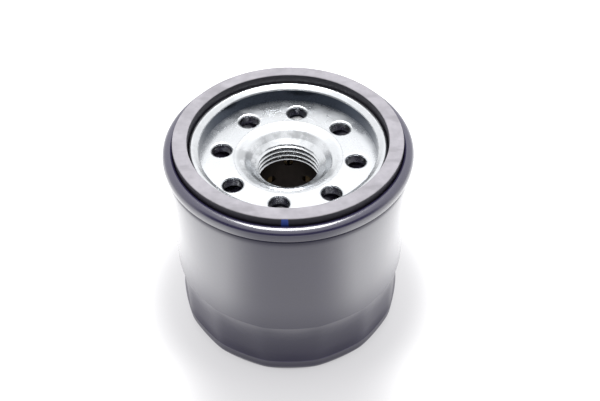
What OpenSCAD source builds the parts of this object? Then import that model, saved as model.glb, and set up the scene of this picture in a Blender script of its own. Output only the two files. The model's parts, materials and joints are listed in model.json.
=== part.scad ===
/* [Can] */
// Overall height, from the closed end to the gasket's face
overall_h = 65; // [58:0.5:90]
// Outside diameter of the can's wall
can_d = 68.4; // [56:0.1:90]
// Sheet thickness of the can
can_t = 0.5; // [0.4:0.05:0.8]
// Outside radius of the can's bottom corner
corner_r = 4; // [3:0.5:6]
// Outside radius of the shoulder under the seam
shoulder_r = 2; // [1.6:0.1:3]
// Number of wrench flats
flats = 14; // [10:2:18]
// Height of the wrench flats above the closed end
flat_h = 23; // [15:0.5:30]
// Depth of each corner between two flats below the can's wall
flat_relief = 0.15; // [0.05:0.05:0.5]
// Diameter of the raised panel in the closed end
panel_d = 45; // [40:0.5:50]
// Height of the raised panel
panel_h = 1; // [0.5:0.1:2]

/* [Lid and seam] */
// Sheet thickness of the seaming lid
lid_t = 0.6; // [0.5:0.05:0.8]
// Height of the double seam
seam_h = 3.6; // [3.5:0.1:6]
// How far the seam stands out past the can's wall
seam_overhang = 0.6; // [0.2:0.1:1.5]
// Outer radius of the seam's top edge
seam_top_r = 2.1; // [1.8:0.1:2.2]
// Radius inside the fold at the groove's top edge
top_bend_r = 0.15; // [0.1:0.05:0.3]
// Play between the folded layers of the seam
seam_play = 0.03; // [0.02:0.01:0.05]
// Radius inside the folds of the gasket's groove
groove_r = 0.4; // [0.3:0.1:0.6]
// Width of the lip inside the gasket
lip_w = 2.6; // [2:0.1:4]
// How far the lip's crest lies below the gasket's face
lip_drop = 2.3; // [2.2:0.1:4.5]

/* [Gasket] */
// Width of the gasket's section
gasket_w = 4; // [3:0.1:6]
// Height of the gasket's section
gasket_h = 6.7; // [5.8:0.1:8]
// How far the gasket stands above the seam
gasket_proud = 2.1; // [1:0.1:2.4]
// Radius of the gasket's edges
gasket_edge_r = 0.6; // [0.5:0.1:1]
// Play between the gasket and the groove's outer wall
gasket_outer_play = 0.18; // [0.1:0.02:0.5]
// Play between the gasket and the lip
gasket_inner_play = 0.3; // [0.1:0.05:0.5]

/* [Base plate] */
// Thickness of the base plate
plate_t = 3; // [3:0.1:4]
// Major diameter of the thread
thread_d = 19.05; // [15:0.05:24]
// Pitch of the thread
thread_pitch = 1.5875; // [1:0.0125:2]
// How far the plate dips towards the neck's mouth
dip_h = 2.7; // [2:0.1:2.8]
// Width of the ring in which the plate dips
dip_w = 4.6; // [4:0.1:4.8]
// Width of the dip's steep part, next to the neck's mouth
steep_w = 1.6; // [1.2:0.1:2]
// Height of the dip's steep part
steep_h = 1.9; // [1.2:0.1:1.9]
// Length of the neck below the plate
neck_len = 7; // [5:0.5:10]
// Wall of the neck outside the thread's major diameter
neck_wall = 2.1; // [1.5:0.1:3]
// Number of oil inlet ports
ports = 8; // [4:1:10]
// Diameter of a port
port_d = 5.5; // [3:0.1:6.6]
// Width of the broken edge round a port
port_edge = 0.4; // [0.2:0.1:0.6]
// Direction of the first port
port_angle = 36.9; // [0:0.1:45]
// How far the ports' circle lies inside the middle between the dip and the lip
port_shift = 1; // [0.8:0.1:1.1]
// How far the plate's edge stays inside the flat of the groove's floor
plate_inset = 0.5; // [0.2:0.1:2]
// How far the neck's mouth stands outside the thread's major diameter
mouth_edge = 1.1; // [0.5:0.1:1.3]

/* [Anti-drainback valve] */
// Thickness of the rubber dish
valve_t = 1.2; // [0.8:0.1:2]
// Depth of the dish below its lip
dish_drop = 2; // [1:0.1:2.5]
// Wall of the collar round the neck
collar_wall = 2.2; // [1.5:0.1:3]
// Height of the collar
collar_h = 4.1; // [3.6:0.1:6]
// Width of the dish outside the ports, up to its sealing lip
lip_reach = 2.2; // [1.2:0.1:2.8]
// Play between the rubber and the parts that it leans on
valve_play = 0.05; // [0.02:0.01:0.1]

/* [Element] */
// Gap for oil between the element and the can's flats
flow_gap = 3.2; // [2:0.1:6]
// Sheet thickness of the end caps
cap_t = 0.6; // [0.4:0.05:1]
// Height of the end caps' outer rims
cap_rim_h = 4; // [2.5:0.5:8]
// Thickness of the adhesive in each end cap
potting_t = 1.8; // [1:0.1:2.5]
// Play between the paper and the metal round it
paper_play = 0.4; // [0.2:0.1:0.8]
// Play between the upper cap's hole and the neck
cap_play = 0.4; // [0.2:0.1:1]
// Outside diameter of the centre tube
tube_d = 30; // [28:0.5:36]
// Sheet thickness of the centre tube
tube_t = 0.5; // [0.4:0.05:0.8]
// Holes round the centre tube
tube_hole_columns = 8; // [6:2:12]
// Rows of holes in the centre tube
tube_hole_rows = 5; // [3:1:8]
// Diameter of a hole in the centre tube
tube_hole_d = 3; // [2:0.1:4]
// Number of pleats
pleats = 40; // [24:1:48]
// Thickness of the filter paper
paper_t = 0.5; // [0.3:0.05:0.8]
// Height of the element above the can's closed end
element_base = 8; // [7:0.5:14]

/* [Bypass valve] */
// Diameter of the opening that the valve closes
seat_d = 12; // [8:0.5:14]
// Lift of the valve when it is fully open
bypass_lift = 2.5; // [1:0.1:3]
// Diameter of the valve's disc
disc_d = 16.4; // [14:0.1:18]
// Thickness of the valve's disc
disc_t = 0.8; // [0.6:0.1:1.2]
// Thickness of the disc's rubber facing
seal_t = 1.2; // [0.8:0.1:2]
// Diameter of the guide pin
pin_d = 2.9; // [2:0.1:3.5]
// Play round the guide pin in the cage
pin_play = 0.08; // [0.05:0.01:0.1]
// Wire of the bypass spring
spring_wire = 1; // [0.6:0.1:1.3]
// Mean diameter of the bypass spring
spring_d = 10; // [8:0.5:11]
// Turns of the bypass spring
spring_turns = 4; // [3:0.5:5]
// Room that is left between the coils when the valve is fully open
coil_spare = 0.5; // [0.3:0.1:3]

/* [Hidden] */
$fn = 96;
eps = 0.01;         // overlap that joins two solids of one piece
touch = 0.02;       // gap between faces that only touch

// Seam, from the can's wall outwards and inwards
can_r = can_d / 2;
seam_r = can_r + seam_overhang;
groove_out_r = seam_r - 3 * lid_t - 2 * can_t - 4 * seam_play;
neck_out_r = groove_out_r + lid_t + seam_play + can_t;
hook_r = lid_t / 2 + seam_play;                 // inside of the can's hook
hook_c = neck_out_r + hook_r;                   // centre of the can's hook
curl_r = can_t / 2 + seam_play;                 // inside of the lid's curl
curl_c = seam_r - lid_t - curl_r;               // centre of the lid's curl
seam_top = overall_h - gasket_proud;
seam_bottom = seam_top - seam_h;
curl_z = seam_bottom + lid_t + curl_r;
seam_arc_r = seam_r - seam_top_r;
seam_arc_z = seam_top - seam_top_r;
hook_z = seam_arc_z + 0.1;                      // the hook's crown lies just under the lid's arc

// Gasket, groove, lip and well
gasket_r = groove_out_r - gasket_outer_play;
gasket_in_r = gasket_r - gasket_w;
lip_r = gasket_in_r - gasket_inner_play;
well_r = lip_r - lip_w;
lip_top = overall_h - lip_drop;
groove_z = overall_h - gasket_h;
plate_top = groove_z - lid_t;

// Base plate
plate_bottom = plate_top - plate_t;
plate_r = groove_out_r - groove_r - plate_inset;
mouth_r = thread_d / 2 + mouth_edge;
bore_r = (thread_d - 1.0825 * thread_pitch) / 2;
lead_in_h = mouth_r - bore_r;
neck_r = thread_d / 2 + neck_wall;
neck_bottom = plate_bottom - neck_len;
mouth_z = plate_top - dip_h;
dip_r = mouth_r + dip_w;                        // where the plate starts to dip
port_circle_r = (dip_r + well_r) / 2 - port_shift;

// Anti-drainback valve
collar_in_r = neck_r + valve_play;
collar_r = collar_in_r + collar_wall;
collar_bottom = plate_bottom - valve_play - collar_h;
lip_seal_r = port_circle_r + port_d / 2 + lip_reach;

// Wrench flats and the can's inside
flat_a = (can_r - flat_relief) * cos(180 / flats);
inner_flat_a = flat_a - can_t;

// Element
cap_r = inner_flat_a - flow_gap;
upper_cap_z = collar_bottom - valve_play - cap_t;
cap_hole_r = neck_r + cap_play;
tube_r = tube_d / 2;
tube_bottom = element_base + cap_t;
media_bottom = tube_bottom + potting_t;
media_top = upper_cap_z - potting_t;
media_r = cap_r - cap_t - paper_play;
media_in_r = tube_r + paper_play;
media_h = media_top - media_bottom;
pleat_step = 360 / pleats;
tip_share = 0.62;                               // share of the inner pitch that a fold's tip takes
tip_w = tip_share * 2 * PI * media_in_r / pleats;
upper_rim_z = upper_cap_z + cap_t - cap_rim_h;
lower_rim_z = element_base + cap_rim_h;

// Bypass valve
bypass_play = 0.3;                              // play between the valve's rings and the tube
bypass_r = tube_r - tube_t - bypass_play;
seat_lip_w = 0.8;
seat_ring_t = 1;
seat_lip_h = 0.6;
seal_margin = 2;                                // width of the facing outside the opening
seat_z = tube_bottom + seat_ring_t + seat_lip_h;
seal_z = seat_z + touch;
disc_z = seal_z + seal_t;
spring_z = disc_z + disc_t;
spring_room = (spring_turns + 1) * spring_wire + bypass_lift + coil_spare;
cage_top_z = spring_z + spring_room;
cage_t = 0.8;
cage_play = 1;                                  // room for oil round the disc
cage_r = disc_d / 2 + cage_play;
pin_r = pin_d / 2;
pin_head_h = 0.7;
pin_head_w = 1.2;
pin_tip = 1;                                    // how far the closed valve's pin stands out of the cage
pin_edge = 0.4;
seal_r = seat_d / 2 + seal_margin;
lower_hole_r = seal_r;

// A rectangle in the section plane, between two corners
module block(r0, z0, r1, z1) {
    translate([r0, z0]) square([r1 - r0, z1 - z0]);
}

// A quarter of a bent sheet: centre, inside radius, thickness and quadrant
module bend(r, z, inside, t, side, up) {
    span = inside + t;
    translate([r, z]) intersection() {
        difference() {
            circle(r = span);
            circle(r = inside);
        }
        translate([side < 0 ? -span : 0, up < 0 ? -span : 0]) square(span);
    }
}

// What a rounded bottom edge takes off one flat
module edge_cutter(a, bottom, r) {
    rotate([90, 0, 0]) linear_extrude(height = can_d, center = true) difference() {
        block(a - r, bottom - 1, a + 1, bottom + r);
        translate([a - r, bottom + r]) circle(r = r);
    }
}

// The can's lower end as a solid, drawn in by the sheet's thickness for its inside
module flats_outline(inset) {
    a = flat_a - inset;
    r = can_r - inset;
    step = 360 / flats;
    difference() {
        translate([0, 0, inset]) linear_extrude(height = flat_h - inset)
            polygon([for (i = [0 : flats - 1]) a / cos(step / 2) * [cos(i * step), sin(i * step)]]);
        for (i = [0 : flats - 1]) rotate([0, 0, (i + 0.5) * step]) edge_cutter(a, inset, corner_r - inset);
    }
    translate([0, 0, flat_h - r + a]) cylinder(h = r - a, r1 = a, r2 = r);
}

// The can's wall above the flats: cylinder, shoulder, neck and the hook of the seam
module upper_wall() {
    shoulder_c = can_r - shoulder_r;
    shoulder_z = seam_bottom - sqrt(pow(shoulder_r, 2) - pow(neck_out_r - shoulder_c, 2));
    block(can_r - can_t, flat_h, can_r, shoulder_z);
    intersection() {
        difference() {
            translate([shoulder_c, shoulder_z]) circle(r = shoulder_r);
            translate([shoulder_c, shoulder_z]) circle(r = shoulder_r - can_t);
        }
        block(neck_out_r - can_t, shoulder_z, can_r, shoulder_z + shoulder_r);
    }
    block(neck_out_r - can_t, seam_bottom, neck_out_r, hook_z);
    bend(hook_c, hook_z, hook_r, can_t, -1, 1);
    bend(hook_c, hook_z, hook_r, can_t, 1, 1);
    block(hook_c + hook_r, curl_z + seam_play, hook_c + hook_r + can_t, hook_z);
}

// The raised panel of the closed end, as a frustum
module end_panel(r, bottom, h) {
    translate([0, 0, bottom]) cylinder(h = h, r1 = r + h, r2 = r);
}

module canister() {
    color([0.16, 0.155, 0.18]) {
        rotate_extrude() upper_wall();
        difference() {
            flats_outline(0);
            difference() {
                flats_outline(can_t);
                end_panel(panel_d / 2 + can_t, can_t - eps, panel_h + eps);
            }
            end_panel(panel_d / 2, -eps, panel_h + eps);
        }
    }
}

module seaming_lid() {
    out_bend_z = groove_z + groove_r;
    top_c = groove_out_r + lid_t + top_bend_r;
    lip_c = (lip_r + well_r) / 2;
    lip_in = lip_w / 2 - lid_t;
    lip_z = lip_top - lip_w / 2;
    color([0.17, 0.165, 0.19]) rotate_extrude() {
        block(curl_c - curl_r - lid_t, curl_z, curl_c - curl_r, hook_z - seam_play);
        bend(curl_c, curl_z, curl_r, lid_t, -1, -1);
        bend(curl_c, curl_z, curl_r, lid_t, 1, -1);
        block(seam_r - lid_t, curl_z, seam_r, seam_arc_z);
        bend(seam_arc_r, seam_arc_z, seam_top_r - lid_t, lid_t, 1, 1);
        block(min(top_c, seam_arc_r) - eps, seam_top - lid_t, max(top_c, seam_arc_r) + eps, seam_top);
        bend(top_c, seam_top - lid_t - top_bend_r, top_bend_r, lid_t, -1, 1);
        block(groove_out_r, out_bend_z, groove_out_r + lid_t, seam_top - lid_t - top_bend_r);
        bend(groove_out_r - groove_r, out_bend_z, groove_r, lid_t, 1, -1);
        block(lip_r + groove_r, plate_top, groove_out_r - groove_r, groove_z);
        bend(lip_r + groove_r, out_bend_z, groove_r, lid_t, -1, -1);
        block(lip_r - lid_t, out_bend_z, lip_r, lip_z);
        bend(lip_c, lip_z, lip_in, lid_t, 1, 1);
        bend(lip_c, lip_z, lip_in, lid_t, -1, 1);
        block(well_r, plate_top, well_r + lid_t, lip_z);
    }
}

module seam_compound() {
    inside = groove_out_r + lid_t;
    side_gap = 0.25;
    bottom = hook_z + hook_r + can_t + touch;
    color([0.35, 0.33, 0.3]) rotate_extrude() intersection() {
        block(inside + side_gap, bottom, hook_c + side_gap, seam_top);
        translate([seam_arc_r, seam_arc_z]) circle(r = seam_top_r - lid_t - touch);
    }
}

module gasket() {
    top_r = gasket_edge_r / 2;
    color([0.62, 0.61, 0.64]) rotate_extrude() {
        block(gasket_in_r + gasket_edge_r, groove_z, gasket_r - gasket_edge_r, overall_h);
        block(gasket_in_r, groove_z + gasket_edge_r, gasket_r, overall_h - top_r);
        for (r = [gasket_in_r + gasket_edge_r, gasket_r - gasket_edge_r])
            translate([r, groove_z + gasket_edge_r]) circle(r = gasket_edge_r);
        for (r = [gasket_in_r + top_r, gasket_r - top_r])
            translate([r, overall_h - top_r]) circle(r = top_r);
        block(gasket_in_r + top_r, overall_h - top_r, gasket_r - top_r, overall_h);
    }
}

// The oil inlet ports, with a broken edge at the top
module port_cutters() {
    r = port_d / 2;
    edge = port_edge + eps;
    for (i = [0 : ports - 1]) rotate([0, 0, port_angle + i * 360 / ports]) translate([port_circle_r, 0, 0]) {
        translate([0, 0, plate_bottom - 1]) cylinder(h = plate_t + 2, r = r);
        translate([0, 0, plate_top - port_edge]) cylinder(h = edge, r1 = r, r2 = r + edge);
    }
}

module base_plate() {
    edge = 0.4;
    color([0.82, 0.83, 0.85]) difference() {
        rotate_extrude() polygon([
            [bore_r, neck_bottom + edge], [bore_r + edge, neck_bottom], [neck_r - edge, neck_bottom],
            [neck_r, neck_bottom + edge], [neck_r, plate_bottom], [plate_r, plate_bottom],
            [plate_r, plate_top], [dip_r, plate_top], [mouth_r + steep_w, mouth_z + steep_h],
            [mouth_r, mouth_z], [bore_r, mouth_z - lead_in_h]
        ]);
        port_cutters();
    }
}

module anti_drainback_valve() {
    lip_z = plate_bottom - valve_play;
    dish_z = lip_z - dish_drop;
    lip_flat = 1;
    color([0.07, 0.07, 0.08]) rotate_extrude() polygon([
        [collar_in_r, collar_bottom], [collar_r, collar_bottom], [collar_r, dish_z - valve_t],
        [lip_seal_r - lip_flat, lip_z - valve_t], [lip_seal_r + lip_flat / 2, lip_z - valve_t],
        [lip_seal_r, lip_z], [lip_seal_r - lip_flat, lip_z], [collar_r, dish_z],
        [collar_r, lip_z], [collar_in_r, lip_z]
    ]);
}

// A sheet cap: disc with a centre hole and an outer rim that stands up or down
module end_cap(z, hole_r, up) {
    color([0.72, 0.7, 0.66]) rotate_extrude() {
        bend_r = 0.4;
        side = up ? 1 : -1;
        bend_z = z + (up ? cap_t + bend_r : -bend_r);
        far_z = z + (up ? cap_rim_h : cap_t - cap_rim_h);
        block(hole_r, z, cap_r - cap_t - bend_r, z + cap_t);
        bend(cap_r - cap_t - bend_r, bend_z, bend_r, cap_t, 1, -side);
        block(cap_r - cap_t, min(bend_z, far_z), cap_r, max(bend_z, far_z));
    }
}

module upper_end_cap() {
    end_cap(upper_cap_z, cap_hole_r, false);
}

module lower_end_cap() {
    end_cap(element_base, lower_hole_r, true);
}

module potting(z) {
    color([0.55, 0.25, 0.15]) rotate_extrude()
        block(tube_r + touch, z, media_r - touch, z + potting_t);
}

module upper_potting() {
    potting(media_top);
}

module lower_potting() {
    potting(tube_bottom);
}

// Outline of the folds on one side of the paper, four corners to a pleat
function fold_outline(tip_r, valley_r, tip, valley) = [
    for (i = [0 : pleats - 1], k = [0 : 3])
        let (
            a = i * pleat_step + (k < 2 ? 0 : pleat_step / 2),
            r = k < 2 ? tip_r : valley_r,
            w = (k < 2 ? tip : valley) / 2 / r * 180 / PI,
            b = a + (k % 2 == 0 ? -w : w)
        ) r * [cos(b), sin(b)]
];

module pleated_media() {
    color([0.86, 0.78, 0.55]) translate([0, 0, media_bottom]) linear_extrude(height = media_h) difference() {
        polygon(fold_outline(media_r, media_in_r + paper_t, tip_w, tip_w - 2 * paper_t));
        polygon(fold_outline(media_r - paper_t, media_in_r, tip_w - 2 * paper_t, tip_w));
    }
}

module media_seam_clip() {
    clip_t = 0.3;
    clip_d = 4;
    gap = 0.05;
    end_gap = 0.2;
    fold_r = media_in_r + paper_t;
    fold_w = fold_r * sin(pleat_step / 2) - tip_w / 2 + paper_t;
    w = tip_w / 2 + (fold_w - tip_w / 2) * clip_d / (media_r - fold_r) + gap;
    r = media_r + gap;
    bottom = lower_rim_z + end_gap;
    color([0.75, 0.75, 0.76]) translate([0, 0, bottom])
        linear_extrude(height = upper_rim_z - end_gap - bottom) difference() {
            translate([r - clip_d, -w - clip_t]) square([clip_d + clip_t, 2 * (w + clip_t)]);
            translate([r - clip_d - 1, -w]) square([clip_d + 1, 2 * w]);
        }
}

module center_tube() {
    h = upper_cap_z - tube_bottom;
    margin = 8;
    row_step = (h - 2 * margin) / (tube_hole_rows - 1);
    color([0.7, 0.7, 0.72]) difference() {
        translate([0, 0, tube_bottom]) cylinder(h = h, r = tube_r);
        translate([0, 0, tube_bottom - 1]) cylinder(h = h + 2, r = tube_r - tube_t);
        for (row = [0 : tube_hole_rows - 1], i = [0 : tube_hole_columns - 1])
            rotate([0, 0, (i + (row % 2) / 2) * 360 / tube_hole_columns])
                translate([tube_r - 2, 0, tube_bottom + margin + row * row_step]) rotate([0, 90, 0])
                    cylinder(h = 4, r = tube_hole_d / 2, $fn = 32);
    }
}

module bypass_seat_ring() {
    r = seat_d / 2;
    color([0.72, 0.72, 0.74]) rotate_extrude() {
        block(r, tube_bottom, bypass_r, tube_bottom + seat_ring_t);
        block(r, tube_bottom, r + seat_lip_w, seat_z);
    }
}

module bypass_disc_seal() {
    color([0.1, 0.1, 0.11]) difference() {
        translate([0, 0, seal_z]) cylinder(h = seal_t, r = seal_r);
        translate([0, 0, seal_z - 1]) cylinder(h = seal_t + 2, r = pin_r);
    }
}

module bypass_disc() {
    color([0.75, 0.75, 0.77]) difference() {
        translate([0, 0, disc_z]) cylinder(h = disc_t, r = disc_d / 2);
        translate([0, 0, disc_z - 1]) cylinder(h = disc_t + 2, r = pin_r);
    }
}

module bypass_guide_pin() {
    top = cage_top_z + cage_t + pin_tip;
    color([0.8, 0.8, 0.82]) rotate_extrude() polygon([
        [0, seal_z - pin_head_h], [pin_r + pin_head_w, seal_z - pin_head_h], [pin_r + pin_head_w, seal_z],
        [pin_r, seal_z], [pin_r, top - pin_edge], [pin_r - pin_edge, top], [0, top]
    ]);
}

// Points of the spring's wire, a ring of corners for each step along the coil
function coil_ring(t, sides) =
    let (
        a = t * spring_turns * 360,
        rise = spring_room - spring_wire - 2 * touch,
        c = [cos(a), sin(a), 0] * spring_d / 2 + [0, 0, spring_z + touch + spring_wire / 2 + t * rise]
    ) [
        for (k = [0 : sides - 1])
            let (b = k * 360 / sides)
                c + spring_wire / 2 * (cos(b) * [cos(a), sin(a), 0] + sin(b) * [0, 0, 1])
    ];

module bypass_spring() {
    sides = 8;
    steps = round(spring_turns * 20);
    rings = [for (i = [0 : steps]) coil_ring(i / steps, sides)];
    points = [for (ring = rings, point = ring) point];
    color([0.6, 0.6, 0.62]) polyhedron(points = points, faces = concat(
        [[for (k = [0 : sides - 1]) k]],
        [[for (k = [sides - 1 : -1 : 0]) steps * sides + k]],
        [for (i = [0 : steps - 1], k = [0 : sides - 1]) [
            i * sides + k, (i + 1) * sides + k, (i + 1) * sides + (k + 1) % sides, i * sides + (k + 1) % sides
        ]]
    ), convexity = 6);
}

module bypass_cage() {
    base_z = tube_bottom + seat_ring_t;
    windows = 4;
    window_w = 8;
    color([0.68, 0.68, 0.7]) difference() {
        rotate_extrude() {
            block(cage_r, base_z, bypass_r, base_z + cage_t);
            block(cage_r, base_z, cage_r + cage_t, cage_top_z + cage_t);
            block(pin_r + pin_play, cage_top_z, cage_r + cage_t, cage_top_z + cage_t);
        }
        for (i = [0 : windows - 1]) rotate([0, 0, i * 360 / windows])
            translate([cage_r / 2, -window_w / 2, base_z + 2 * cage_t])
                cube([cage_r, window_w, cage_top_z - base_z - 3 * cage_t]);
    }
}

module element_spring() {
    legs = 4;
    leg_w = 8;
    t = 0.6;
    ring_in_r = lower_hole_r + 1;
    ring_out_r = ring_in_r + 4;
    floor_z = panel_h + can_t;
    foot_r = panel_d / 2 - 2;
    leg_r = ring_out_r - 1;
    color([0.5, 0.52, 0.58]) {
        difference() {
            translate([0, 0, element_base - t]) cylinder(h = t, r = ring_out_r);
            translate([0, 0, element_base - t - 1]) cylinder(h = t + 2, r = ring_in_r);
        }
        for (i = [0 : legs - 1]) rotate([90, 0, 45 + i * 360 / legs])
            linear_extrude(height = leg_w, center = true) polygon([
                [leg_r, element_base], [leg_r, element_base - t], [ring_out_r, element_base - t],
                [foot_r - 2, floor_z], [foot_r, floor_z], [foot_r, floor_z + t],
                [foot_r - 1.6, floor_z + t], [ring_out_r + 0.4, element_base]
            ]);
    }
}

canister();
seaming_lid();
seam_compound();
gasket();
base_plate();
anti_drainback_valve();
upper_end_cap();
upper_potting();
pleated_media();
media_seam_clip();
center_tube();
lower_potting();
lower_end_cap();
bypass_seat_ring();
bypass_disc_seal();
bypass_disc();
bypass_guide_pin();
bypass_spring();
bypass_cage();
element_spring();
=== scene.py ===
"""Spin-on oil filter: the detailed model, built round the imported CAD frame."""
import json
import math
from collections import namedtuple

import bmesh
import bpy
from mathutils import Matrix, Vector


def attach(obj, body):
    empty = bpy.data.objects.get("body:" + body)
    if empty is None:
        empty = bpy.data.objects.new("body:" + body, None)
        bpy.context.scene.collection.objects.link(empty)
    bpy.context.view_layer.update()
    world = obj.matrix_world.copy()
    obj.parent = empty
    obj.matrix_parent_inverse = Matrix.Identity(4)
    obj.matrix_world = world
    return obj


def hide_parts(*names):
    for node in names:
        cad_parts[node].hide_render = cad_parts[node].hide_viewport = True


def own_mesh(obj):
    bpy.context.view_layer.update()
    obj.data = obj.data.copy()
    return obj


bl_info = {
    "name": "Spin-on Oil Filter",
    "version": (1, 0, 0),
    "blender": (4, 5, 0),
    "location": "View3D > Sidebar > Oil Filter",
    "description": "Builds a spin-on oil filter with its can, seam, gasket, threaded plate, valves and element",
    "category": "Add Mesh",
}

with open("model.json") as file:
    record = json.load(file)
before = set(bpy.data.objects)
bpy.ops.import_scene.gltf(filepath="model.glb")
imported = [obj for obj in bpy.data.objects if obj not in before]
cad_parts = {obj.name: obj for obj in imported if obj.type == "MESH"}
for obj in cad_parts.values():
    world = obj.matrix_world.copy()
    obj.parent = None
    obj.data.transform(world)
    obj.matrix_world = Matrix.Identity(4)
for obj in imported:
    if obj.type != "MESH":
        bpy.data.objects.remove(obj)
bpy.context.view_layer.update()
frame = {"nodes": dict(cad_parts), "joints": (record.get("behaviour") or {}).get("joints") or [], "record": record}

MM = 0.001
TURN = 2 * math.pi
WELD = 1e-6              # vertices closer than this are one

Ring = namedtuple("Ring", "inner outer low high")


def ring_of(node):
    """Inner and outer radius, lowest and highest point of a round CAD node."""
    points = [v.co for v in frame["nodes"][node].data.vertices]
    radii = [math.hypot(p.x, p.y) for p in points]
    heights = [p.z for p in points]
    return Ring(min(radii), max(radii), min(heights), max(heights))


def mount_of(name):
    """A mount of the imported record."""
    return next(m for m in frame["record"]["mounts"] if m["name"] == name)


CAN = ring_of("canister")
LID = ring_of("seaming_lid")
GASKET = ring_of("gasket")
PLATE = ring_of("base_plate")
VALVE = ring_of("anti_drainback_valve")
SPRING = ring_of("bypass_spring")
TUBE = ring_of("center_tube")
MEDIA = ring_of("pleated_media")
BORE_RADIUS = mount_of("thread")["dims"]["r_mm"] * MM


# --- sizes and colours that a user would change ---------------------------------------------------


def length(name, description, default):
    """A length property, in metres."""
    return bpy.props.FloatProperty(
        name=name, description=description, default=default, min=0, precision=5, unit="LENGTH"
    )


def count(name, description, default):
    """A whole number property."""
    return bpy.props.IntProperty(name=name, description=description, default=default, min=1)


def tint(name, description, default):
    """A colour property."""
    return bpy.props.FloatVectorProperty(
        name=name, description=description, default=default, size=3, min=0, max=1, subtype="COLOR"
    )


class CanSizes(bpy.types.PropertyGroup):
    """The drawn steel can"""

    radius: length("Radius", "Outside radius of the can's wall", CAN.outer)
    sheet: length("Sheet", "Thickness of the can's sheet", 0.5 * MM)
    corner: length("Corner", "Outside radius of the bottom corner", 4 * MM)
    shoulder: length("Shoulder", "Outside radius of the shoulder under the seam", 2 * MM)
    flats: count("Flats", "Wrench flats round the can", 14)
    flat_height: length("Flat height", "Height of the flats above the closed end", 23 * MM)
    flat_relief: length("Flat relief", "Depth of the corners between the flats", 0.15 * MM)
    draft_height: length("Draft height", "Height below which the wall leans inwards", 6.2 * MM)
    draft: length("Draft", "How far the wall leans inwards at its foot", 0.2 * MM)
    panel_radius: length("Panel radius", "Radius of the raised panel in the closed end", 22.5 * MM)
    panel_height: length("Panel height", "Height of the raised panel", 1 * MM)


class LidSizes(bpy.types.PropertyGroup):
    """The seaming lid and its double seam"""

    sheet: length("Sheet", "Thickness of the lid's sheet", 0.6 * MM)
    play: length("Play", "Play between the folded layers", 0.03 * MM)
    seam_height: length("Seam height", "Height of the double seam", 3.6 * MM)
    top_radius: length("Top radius", "Outer radius of the seam's top edge", 2.1 * MM)
    top_bend: length("Top bend", "Radius inside the fold at the groove's top edge", 0.15 * MM)
    groove_bend: length("Groove bend", "Radius inside the folds of the groove", 0.4 * MM)
    lip_width: length("Lip width", "Width of the lip inside the gasket", 2.6 * MM)
    lip_drop: length("Lip drop", "How far the lip's crest lies below the gasket's face", 2.3 * MM)
    lip_bend: length("Lip bend", "Outer radius of the lip's bend next to the gasket", 0.7 * MM)
    lip_slope: length("Lip slope", "Width of the lip's slope towards the plate", 1.4 * MM)
    lip_fall: length("Lip fall", "Height of the lip's slope towards the plate", 0.95 * MM)


class GasketSizes(bpy.types.PropertyGroup):
    """The sealing ring"""

    width: length("Width", "Width of the section", GASKET.outer - GASKET.inner)
    edge: length("Edge", "Radius of the lower edges", 0.6 * MM)
    top_edge: length("Top edge", "Radius of the upper edges", 0.3 * MM)
    play: length("Play", "Play to the groove's outer wall", 0.18 * MM)
    mark_width: length("Mark width", "Width of the inspector's ink dab", 1.9 * MM)
    mark_offset: length("Mark offset", "How far the ink dab lies to the left of the middle", 1.2 * MM)


class PlateSizes(bpy.types.PropertyGroup):
    """The threaded base plate"""

    thickness: length("Thickness", "Thickness of the plate", 3 * MM)
    dip: length("Dip", "How far the plate dips towards the neck's mouth", 2.7 * MM)
    dip_width: length("Dip width", "Width of the ring in which the plate dips", 4.6 * MM)
    steep_width: length("Steep width", "Width of the dip's steep part, next to the mouth", 1.7 * MM)
    steep_height: length("Steep height", "Height of the dip's steep part", 1.65 * MM)
    dip_bend: length("Dip bend", "Radius of the bend into the dip's steep part", 2.2 * MM)
    mouth: length("Mouth", "Radius of the neck's mouth", 10.625 * MM)
    mouth_edge: length("Mouth edge", "Radius of the mouth's broken edge", 0.35 * MM)
    neck: length("Neck", "Outside radius of the neck", 11.625 * MM)
    pitch: length("Pitch", "Pitch of the thread", 1.5875 * MM)
    thread_depth: length("Thread depth", "Radial depth of the thread", 0.86 * MM)
    ports: count("Ports", "Oil inlet ports", 8)
    port_radius: length("Port radius", "Radius of a port", 2.75 * MM)
    port_circle: length("Port circle", "Radius of the circle that the ports lie on", 19.0125 * MM)
    port_rim: length("Port rim", "Radius of the rounded rim of a port", 0.7 * MM)
    port_angle: bpy.props.FloatProperty(
        name="Port angle", description="Direction of the first port", default=math.radians(36.9), subtype="ANGLE"
    )


class InsideSizes(bpy.types.PropertyGroup):
    """The parts inside the can"""

    valve_thickness: length("Valve", "Thickness of the anti-drainback valve's dish", 1.2 * MM)
    valve_drop: length("Valve drop", "Depth of the dish below its lip", 2 * MM)
    collar: length("Collar", "Wall of the valve's collar", 2.2 * MM)
    shoulder: length("Shoulder", "Width of the slope from the collar into the dish", 4 * MM)
    wire: length("Wire", "Wire of the bypass spring", 1 * MM)
    coils: count("Coils", "Turns of the bypass spring", 4)


class Colours(bpy.types.PropertyGroup):
    """Colours of the finishes"""

    paint: tint("Paint", "Paint of the can and the seam", (0.013, 0.010, 0.038))
    zinc: tint("Zinc", "Zinc plating", (0.73, 0.75, 0.775))
    dust: tint("Dust", "Dusty face of the gasket", (0.262, 0.252, 0.276))
    rubber: tint("Rubber", "Black rubber", (0.009, 0.008, 0.013))
    ink: tint("Ink", "Inspector's ink", (0.02, 0.06, 0.32))
    paper: tint("Paper", "Filter paper", (0.34, 0.25, 0.13))
    adhesive: tint("Adhesive", "Adhesive that holds the paper", (0.33, 0.09, 0.04))
    tinplate: tint("Tinplate", "Oiled tinplate", (0.24, 0.22, 0.21))
    spring: tint("Spring steel", "Oiled spring steel", (0.20, 0.21, 0.23))
    floor: tint("Floor", "Studio floor", (0.86, 0.86, 0.87))


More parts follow.
